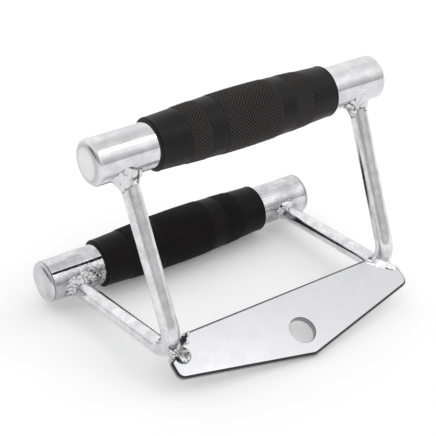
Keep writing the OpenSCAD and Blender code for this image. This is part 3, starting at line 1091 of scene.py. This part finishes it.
def weld_from(node, mesh, matrix, lumps, rough, seed, smoothing=2, spots=(), steel=WELD_STEEL):
    """Fuses a mesh with ellipsoids, each (centre, radii) in the matrix's space, into one uneven weld.

    spots are (centre, radius, depth, darkness) of pits with painted shade in them, and of patches of
    painted shade with no depth, in the same space. All of these and rough, the height of the unevenness,
    are in millimetres. The weld gets painted shade in crevices, creases and low spots too.
    """
    rough *= MM
    with editing(mesh) as work:
        for centre, radii in lumps:
            ellipsoid = Matrix.Diagonal((*(Vector(radii) * MM), 1))
            place = matrix @ Matrix.Translation(Vector(centre) * MM) @ ellipsoid
            bmesh.ops.create_icosphere(work, subdivisions=3, radius=1, matrix=place)
        bmesh.ops.recalc_face_normals(work, faces=work.faces)
    draft = bpy.data.objects.new(node + "_draft", mesh)
    bpy.context.scene.collection.objects.link(draft)
    remesh = draft.modifiers.new("Fuse", "REMESH")
    remesh.mode = "VOXEL"
    remesh.voxel_size = VOXEL
    fused = bpy.data.meshes.new_from_object(draft.evaluated_get(bpy.context.evaluated_depsgraph_get()))
    bpy.data.objects.remove(draft)
    dark = []
    share = min(1, rough / CUT_ROUGH)
    placed = [(matrix @ (Vector(c) * MM), r * MM, d * MM, shade) for c, r, d, shade in spots]
    with editing(fused) as work:
        before = [v.co.copy() for v in work.verts]
        axes = {"use_axis_x": True, "use_axis_y": True, "use_axis_z": True}
        for _ in range(smoothing):
            bmesh.ops.smooth_vert(work, verts=work.verts, factor=0.5, **axes)
        work.normal_update()
        for v, start in zip(work.verts, before):
            filled = (v.co - start).dot(v.normal)
            big = wave(v.co, CUT_LUMP, seed)
            small = wave(v.co, CUT_SMALL_LUMP, seed + 1)
            crease = max(0.0, 1 - abs(wave(v.co, CUT_CREASE_SPACING, seed + 2)) / CUT_CREASE_WIDTH)
            sink = 0.0
            painted_spot_shade = 0.0
            for centre, radius, depth, shade in placed:
                near = bell((v.co - centre).length, radius)
                sink += depth * near
                painted_spot_shade += shade * near
            v.co += v.normal * (rough * (0.6 * big + 0.3 * small - 0.5 * crease) - sink)
            # Painted shade in the crevices that the smoothing filled, in creases and low spots, and in the
            # spots
            low = 0.9 * crease - 0.8 * min(0.0, big)
            dark.append(clamp(0.8 * max(0.0, filled / FILLED) + low * share + painted_spot_shade))
    paint(fused, "hollow", dark)
    finish_piece(fused, node + "_metal", steel, [node])


def plate_weld(node, matrix, start, toe, bead_seed, lumps=(), **finish):
    """A weld along a cut, which starts at start and has its foot at toe down the face, in millimetres."""
    mesh = bead_mesh(node, matrix, start * MM, BEAD_STOP, toe * MM, bead_seed)
    weld_from(node, mesh, matrix, lumps, **finish)


# Lumps of the left front weld, as (centre, radii) in millimetres in the cut's space: a round nugget
# low on the face, and small ones at the top of the cut and on the rod's outer side
LEFT_LUMPS = (
    ((14.6, -3.5, 2.0), (5.2, 4.9, 1.3)),
    ((2.0, -0.4, 2.4), (1.7, 1.5, 1.4)),
    ((4.6, 1.0, 3.0), (1.4, 1.2, 1.3)),
    ((6.4, -1.6, 2.4), (1.5, 1.9, 1.1)),
    ((18.8, 0.6, 2.6), (1.6, 1.8, 1.8)),
    ((17.6, 3.4, 3.8), (1.3, 1.5, 1.6)),
)
# Pits with painted shade in them, as (centre, radius, depth, darkness); the last, with no depth, is painted
# shade over the nugget that tones down its reflection of the key light
LEFT_SPOTS = (
    ((2.6, 0.6, 2.6), 1.2, 0.5, 1.2),
    ((5.0, -0.8, 3.2), 1.1, 0.5, 1.2),
    ((7.0, 0.6, 3.6), 1.4, 0.6, 1.3),
    ((9.0, -0.6, 3.6), 1.0, 0.5, 1.2),
    ((18.8, -2.2, 2.6), 1.0, 0.5, 1.3),
    ((20.2, -0.6, 2.2), 0.9, 0.4, 1.2),
    ((14.8, -3.9, 3.2), 9.0, 0.0, 0.62),
)
# Pits with painted shade in them, as (centre, radius, depth, darkness)
RIGHT_SPOTS = (
    ((3.4, -2.6, 2.6), 0.9, 0.3, 1.6),
    ((5.5, -0.4, 3.2), 0.9, 0.4, 1.4),
    ((2.0, 0.8, 2.4), 0.9, 0.4, 1.4),
    ((6.2, -3.1, 2.5), 0.8, 0.2, 1.6),
    ((14.0, -3.1, 2.5), 0.9, 0.2, 1.6),
    ((15.8, -3.2, 2.4), 0.8, 0.2, 1.6),
    ((17.6, -2.9, 2.5), 0.9, 0.2, 1.6),
)
plate_weld(
    "left_front_plate_weld", cut_frame("left"), start=1.0, toe=1.4, bead_seed=3,
    lumps=LEFT_LUMPS, rough=0.24, seed=31, smoothing=3, spots=LEFT_SPOTS,
)
# The right front plate weld uses the lighter copy of the weld steel, a painted highlight
plate_weld(
    "right_front_plate_weld", cut_frame("right"), start=0.0, toe=3.6, bead_seed=5,
    rough=0.06, seed=35, smoothing=8, spots=RIGHT_SPOTS, steel=WELD_STEEL_PAINTED_HIGHLIGHT,
)
for n_side, side in enumerate(SIDES):
    behind = cut_frame(side) @ Matrix.Diagonal((1, 1, -1, 1))
    node = side + "_rear_plate_weld"
    plate_weld(node, behind, start=0.6, toe=2.2, bead_seed=8 + n_side, rough=0.30, seed=41 + n_side)
    root = [((s, 0.4, 0), (1.8, 1.7, PLATE_T / 2 / MM + 0.4)) for s in np.linspace(2.0, 19.5, 12)]
    node = side + "_root_weld"
    weld_from(node, bpy.data.meshes.new(node), cut_frame(side), root, rough=0.30, seed=51 + n_side)

# ---------------- studio

AIM_OFFSET = Vector((-15.2, -7.0, -6.0)) * MM
CAMERA_AZIMUTH = math.radians(-34.65)
CAMERA_ELEVATION = math.radians(28.27)
CAMERA_ROLL = math.radians(-1.43)
CAMERA_DISTANCE = 0.682
CAMERA_LENS = 101.8
FLOOR_HALF = 40.0
FRONT_AZIMUTH = 175
# The front side's share of the light begins and is full at these cosines to that azimuth
FRONT_SPREAD = (-0.1, 0.75)
WORLD_STRENGTH = 1.36
# Brightness of the studio at heights above the horizon, in degrees, behind the object and in front of it
BACK_STOPS = ((0, 0.72), (10, 0.76), (24, 0.84), (42, 0.84), (60, 0.66), (90, 0.62))
FRONT_STOPS = ((0, 0.42), (8, 0.46), (20, 0.66), (34, 0.84), (55, 0.84), (90, 0.62))
# Patches of the room: azimuth, elevation, inner and outer radius in degrees, brightness. The first is the
# glow under the key light, the others are dark.
PATCHES = ((147, 44, 4, 24, 0.92), (285, 6, 10, 40, 0.16), (235, 22, 8, 34, 0.34))


def compass(azimuth, elevation):
    """Direction at an azimuth from +Y towards +X and an elevation, in degrees."""
    a, e = math.radians(azimuth), math.radians(elevation)
    return Vector((math.sin(a) * math.cos(e), math.cos(a) * math.cos(e), math.sin(e)))


def make_camera():
    back = Vector((
        math.sin(CAMERA_AZIMUTH) * math.cos(CAMERA_ELEVATION),
        -math.cos(CAMERA_AZIMUTH) * math.cos(CAMERA_ELEVATION),
        math.sin(CAMERA_ELEVATION),
    ))
    camera = bpy.data.objects.new("camera", bpy.data.cameras.new("camera"))
    camera.data.lens = CAMERA_LENS
    camera.data.sensor_width = 36
    camera.data.clip_start = 0.01
    camera.data.clip_end = 100
    level = (-back).to_track_quat("-Z", "Y")
    camera.rotation_mode = "QUATERNION"
    camera.rotation_quaternion = level @ Matrix.Rotation(CAMERA_ROLL, 3, "Z").to_quaternion()
    camera.location = (cad_low + cad_high) / 2 + AIM_OFFSET + back * CAMERA_DISTANCE
    bpy.context.scene.collection.objects.link(camera)
    bpy.context.scene.camera = camera


def make_light(name, azimuth, elevation, distance, size, power):
    """A soft box that faces the object, at a compass angle from +Y towards +X."""
    way = compass(azimuth, elevation)
    data = bpy.data.lights.new(name, "AREA")
    data.shape = "RECTANGLE"
    data.size, data.size_y = size
    data.energy = power
    light = bpy.data.objects.new(name, data)
    light.location = (cad_low + cad_high) / 2 + way * distance
    light.rotation_mode = "QUATERNION"
    light.rotation_quaternion = (-way).to_track_quat("-Z", "Y")
    light.visible_camera = False
    bpy.context.scene.collection.objects.link(light)


def make_world():
    """A bright studio: white walls and ceiling, and a greyer side behind the camera."""
    world = bpy.data.worlds.new("studio")
    bpy.context.scene.world = world
    n = Nodes(world, "OutputWorld", "Background")
    way = n.add("TexCoord").outputs["Generated"]
    height = n.add("SeparateXYZ", {0: way}).outputs["Z"]
    share = n.spread(n.dot(way, compass(FRONT_AZIMUTH, 0)), *FRONT_SPREAD)
    light = n.blend(share, n.ramp(height, BACK_STOPS), n.ramp(height, FRONT_STOPS))
    for azimuth, elevation, inner, outer, grey in PATCHES:
        facing = n.dot(way, compass(azimuth, elevation))
        near = n.spread(facing, low=math.cos(math.radians(outer)), high=math.cos(math.radians(inner)))
        light = n.blend(near, light, (grey, grey, grey))
    n.set(color=light, strength=WORLD_STRENGTH)


def make_floor():
    mesh = bpy.data.meshes.new("floor")
    corners = [(x * FLOOR_HALF, y * FLOOR_HALF, 0) for x, y in ((-1, -1), (1, -1), (1, 1), (-1, 1))]
    mesh.from_pydata(corners, [], [(0, 1, 2, 3)])
    n = material_nodes("floor_paper")
    paper = n.noise(n.place("Object", (1, 1, 1)), 60, detail=4, roughness=0.6)
    n.set(
        base_color=n.blend(paper, (0.92, 0.92, 0.92), (0.94, 0.94, 0.94)),
        roughness=0.8,
        specular_ior_level=0.1,
        emission_color=(1.0, 1.0, 1.0),
        emission_strength=0.12,
    )
    mesh.materials.append(n.owner)
    floor = bpy.data.objects.new("floor", mesh)
    bpy.context.scene.collection.objects.link(floor)


make_camera()
make_world()
make_light("key", azimuth=147, elevation=53, distance=1.2, size=(0.38, 0.30), power=0.9)
make_floor()
bpy.context.scene.view_settings.view_transform = "Standard"
